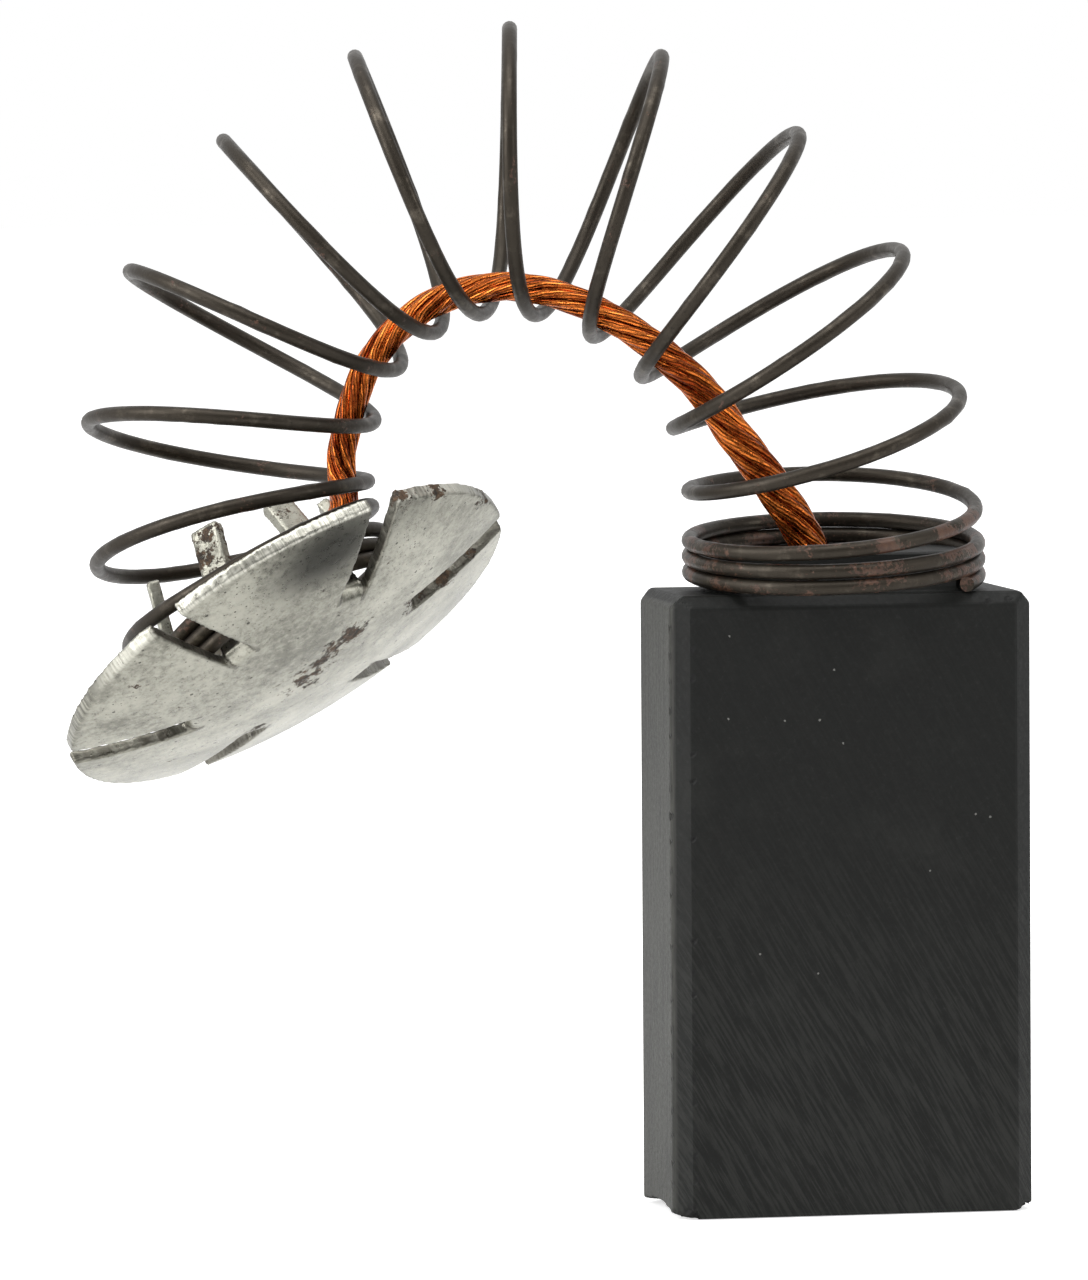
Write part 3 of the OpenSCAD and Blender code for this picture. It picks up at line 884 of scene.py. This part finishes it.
def carbonMaterial(f):
    mat, tree, shader = newMaterial("groundCarbon")
    place = objectPlace(tree)
    up = addNode(tree, "ShaderNodeSeparateXYZ", {0: place}).outputs["Z"]
    low = ramp(tree, up, 0.015, 0.004)
    turned = mapped(tree, place, rotation=(0, 30, 0))
    lines = noiseAt(tree, mapped(tree, turned, (11500, 1500, 620)), 1.0, 3.0, 0.6)
    drawn = noiseAt(tree, mapped(tree, place, (5200, 5200, 420)), 1.0, 5.0, 0.7)
    grain = noiseAt(tree, place, 5600.0, 5.0, 0.8)
    cloud = noiseAt(tree, place, 260.0, 4.0, 0.6)
    chips = attributeOf(tree, "chipped")
    side = attributeOf(tree, "sideFace")
    wobble = addNode(tree, "ShaderNodeTexNoise", {"Vector": place, "Scale": 9000.0}).outputs["Color"]
    shifted = addNode(tree, "ShaderNodeVectorMath", {0: wobble, 1: (0.00008, 0.00008, 0.00008), 2: place},
                      operation="MULTIPLY_ADD").outputs[0]
    shift = f["fleckShift"]
    spots = [(x + shift, f["fleckDepth"], z + shift) for x, z in f["flecks"]]
    flecks = spotMask(tree, shifted, spots, f["fleckRadius"])
    ground = maths(tree, "MULTIPLY", ramp(tree, lines, 0.42, 0.62), maths(tree, "ADD", 0.15, low))
    colour = mixColour(tree, maths(tree, "MULTIPLY", ground, 0.4), f["front"], f["pale"])
    colour = mixColour(tree, ramp(tree, grain, 0.55, 0.8, 0.0, 0.35), colour, f["pale"])
    colour = mixColour(tree, ramp(tree, cloud, 0.5, 0.75, 0.0, 0.2), colour, f["pale"])
    # left side face: its drawn finish, made paler with painted light from the left
    paleLitSide = mixColour(tree, ramp(tree, drawn, 0.35, 0.7), f["pale"], f["side"])
    colour = mixColour(tree, side, colour, paleLitSide)
    broken = maths(tree, "MULTIPLY", chips, ramp(tree, grain, 0.35, 0.6, 0.4, 1.0))
    colour = mixColour(tree, broken, colour, f["chip"])
    colour = mixColour(tree, flecks, colour, f["fleck"])
    tree.links.new(colour, shader.inputs["Base Color"])
    tree.links.new(ramp(tree, grain, 0.35, 0.7, 0.62, 0.48), shader.inputs["Roughness"])
    shader.inputs["Specular IOR Level"].default_value = 0.22
    relief = maths(tree, "ADD", maths(tree, "MULTIPLY", ground, 0.5), maths(tree, "MULTIPLY", grain, 0.5))
    relief = maths(tree, "ADD", relief, maths(tree, "MULTIPLY", side, drawn))
    bump = addNode(tree, "ShaderNodeBump", {"Height": relief, "Strength": 0.35, "Distance": 0.00003})
    tree.links.new(bump.outputs["Normal"], shader.inputs["Normal"])
    return mat


blockPiece = copyOf("carbon_block", "carbonBlock")
remeshed(blockPiece, blockFinish["voxel"])
chipBlock(blockPiece, blockFinish)
blockPiece.data.materials.append(carbonMaterial(blockFinish))
print("block dressed:", len(blockPiece.data.polygons), "faces")


plugFinish = {"voxel": 0.07, "lumpSize": 3400, "lump": 0.04, "lumpLow": 0.1}


def plugMaterial():
    mat, tree, shader = newMaterial("tampedPowder")
    place = objectPlace(tree)
    grain = noiseAt(tree, place, 4200.0, 6.0, 0.75)
    colour = mixColour(tree, ramp(tree, grain, 0.35, 0.7), (0.02, 0.019, 0.018), (0.085, 0.08, 0.072))
    tree.links.new(colour, shader.inputs["Base Color"])
    shader.inputs["Roughness"].default_value = 0.75
    bump = addNode(tree, "ShaderNodeBump", {"Height": grain, "Strength": 0.8, "Distance": 0.0001})
    tree.links.new(bump.outputs["Normal"], shader.inputs["Normal"])
    return mat


plugPiece = copyOf("tamping_plug", "tampedFilling")
remeshed(plugPiece, plugFinish["voxel"])
roughen(plugPiece, plugFinish["lumpSize"], plugFinish["lump"], plugFinish["lumpLow"])
plugPiece.data.materials.append(plugMaterial())
print("plug dressed:", len(plugPiece.data.polygons), "faces")


stageSetup = {"floor": 3.0, "paint": 0.8, "glow": 0.64, "ambient": 0.5, "white": 1.0, "dim": 0.22}


def seenDirectly(tree):
    path = addNode(tree, "ShaderNodeLightPath")
    mirrored = maths(tree, "MAXIMUM", path.outputs["Is Glossy Ray"], path.outputs["Is Transmission Ray"])
    return path.outputs["Is Camera Ray"], mirrored


def makeStage(s):
    mesh = bpy.data.meshes.new("paleFloor")
    h = s["floor"] / 2
    mesh.from_pydata([(-h, -h, 0), (h, -h, 0), (h, h, 0), (-h, h, 0)], [], [(0, 1, 2, 3)])
    floor = bpy.data.objects.new("paleFloor", mesh)
    scene.collection.objects.link(floor)
    mat, tree, shader = newMaterial("paleFloor")
    shader.inputs["Base Color"].default_value = (s["paint"], s["paint"], s["paint"], 1)
    shader.inputs["Roughness"].default_value = 1.0
    shader.inputs["Specular IOR Level"].default_value = 0.0
    shader.inputs["Emission Color"].default_value = (1, 1, 1, 1)
    direct, mirrored = seenDirectly(tree)
    glow = maths(tree, "MAXIMUM", direct, maths(tree, "MULTIPLY", mirrored, 0.3))
    tree.links.new(maths(tree, "MULTIPLY", glow, s["glow"]), shader.inputs["Emission Strength"])
    mesh.materials.append(mat)
    return floor


def makeWorld(s):
    # white to the camera, and a dim room behind it for what the metal mirrors
    world = bpy.data.worlds.new("studio")
    scene.world = world
    world.use_nodes = True
    tree = world.node_tree
    background = tree.nodes["Background"]
    background.inputs["Color"].default_value = (1, 1, 1, 1)
    direct, mirrored = seenDirectly(tree)
    sky = addNode(tree, "ShaderNodeTexCoord").outputs["Generated"]
    depth = addNode(tree, "ShaderNodeSeparateXYZ", {0: sky}).outputs["Y"]
    room = ramp(tree, depth, -0.5, 0.4, s["dim"], s["white"])
    unseen = mixValue(tree, mirrored, s["ambient"], room)
    tree.links.new(mixValue(tree, direct, unseen, s["white"]), background.inputs["Strength"])


def makeLamp(name, place, aim, size, power):
    data = bpy.data.lights.new(name, "AREA")
    data.shape = "RECTANGLE"
    data.size, data.size_y = size
    data.energy = power
    lamp = bpy.data.objects.new(name, data)
    scene.collection.objects.link(lamp)
    lamp.location = place
    lamp.rotation_euler = (Vector(aim) - Vector(place)).to_track_quat("-Z", "Y").to_euler()


makeStage(stageSetup)
makeWorld(stageSetup)
centre = (-0.008, 0, 0.02)
makeLamp("topSoftbox", (-0.05, -0.12, 0.5), centre, (0.5, 0.4), 2.4)
makeLamp("leftSoftbox", (-0.5, -0.12, 0.25), centre, (0.3, 0.4), 2.6)
makeLamp("rightSoftbox", (0.45, -0.35, 0.2), centre, (0.2, 0.4), 0.9)
scene.view_settings.view_transform = "Standard"
print("light set")

for piece, node, slot in ((spring, "spring", "spring_wire"), (shunt, "shunt_lead", "copper_strand"),
                          (capPiece, "terminal_cap", "tinned_sheet"), (blockPiece, "carbon_block", "carbon"),
                          (plugPiece, "tamping_plug", "tamping_powder")):
    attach(piece, "root")
    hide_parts(node)
